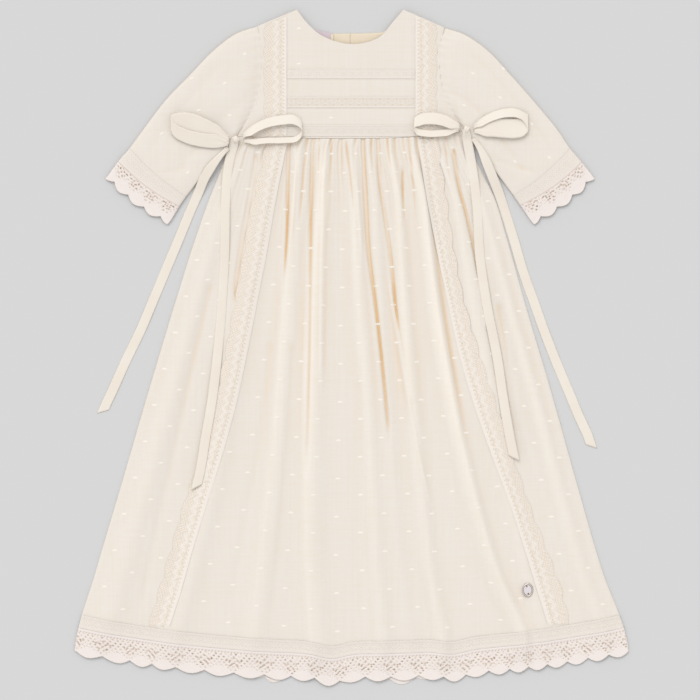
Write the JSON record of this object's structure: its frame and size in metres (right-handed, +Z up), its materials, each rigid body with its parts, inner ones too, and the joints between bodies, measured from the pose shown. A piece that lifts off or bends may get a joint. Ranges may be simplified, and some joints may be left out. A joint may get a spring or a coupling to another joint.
{
  "type": "christening gown",
  "caption": "Long ivory plumeti cotton christening gown with lace insertions, scalloped lace edgings and ribbon bows, laid flat.",
  "frame": {"origin": "Middle of the gown's outline on the surface that it lies on: X and Y centre of the bounding box, Z at the underside.", "axes": "+X across the gown to the right as seen from above, +Y along the gown from the hem to the neck, +Z up from the surface."},
  "size_m": [0.5727, 0.6983, 0.0138],
  "materials": {
    "cotton": "matte",
    "lace": "matte",
    "ribbon": "satin",
    "label": "satin",
    "charm": "polished"
  },
  "bodies": {
    "root": {"skirt_front": "cotton", "skirt_back": "cotton", "bodice_front": "cotton", "bodice_back_left": "cotton", "bodice_back_right": "cotton", "back_placket": "cotton", "sleeve_left": "cotton", "sleeve_right": "cotton", "cuff_insertion_left": "lace", "cuff_insertion_right": "lace", "cuff_edging_left": "lace", "cuff_edging_right": "lace", "yoke_lace_left": "lace", "yoke_lace_right": "lace", "yoke_insertion_upper": "lace", "yoke_insertion_middle": "lace", "waist_insertion": "lace", "skirt_lace_left": "lace", "skirt_lace_right": "lace", "hem_insertion_front": "lace", "hem_insertion_back": "lace", "hem_edging_front": "lace", "hem_edging_back": "lace", "bow_left_loop_outer": "ribbon", "bow_left_loop_inner": "ribbon", "bow_left_knot": "ribbon", "bow_left_tail_skirt": "ribbon", "bow_left_tail_side": "ribbon", "bow_right_loop_outer": "ribbon", "bow_right_loop_inner": "ribbon", "bow_right_knot": "ribbon", "bow_right_tail_skirt": "ribbon", "bow_right_tail_side": "ribbon", "charm": "charm", "neck_label": "label"}
  },
  "joints": []
}
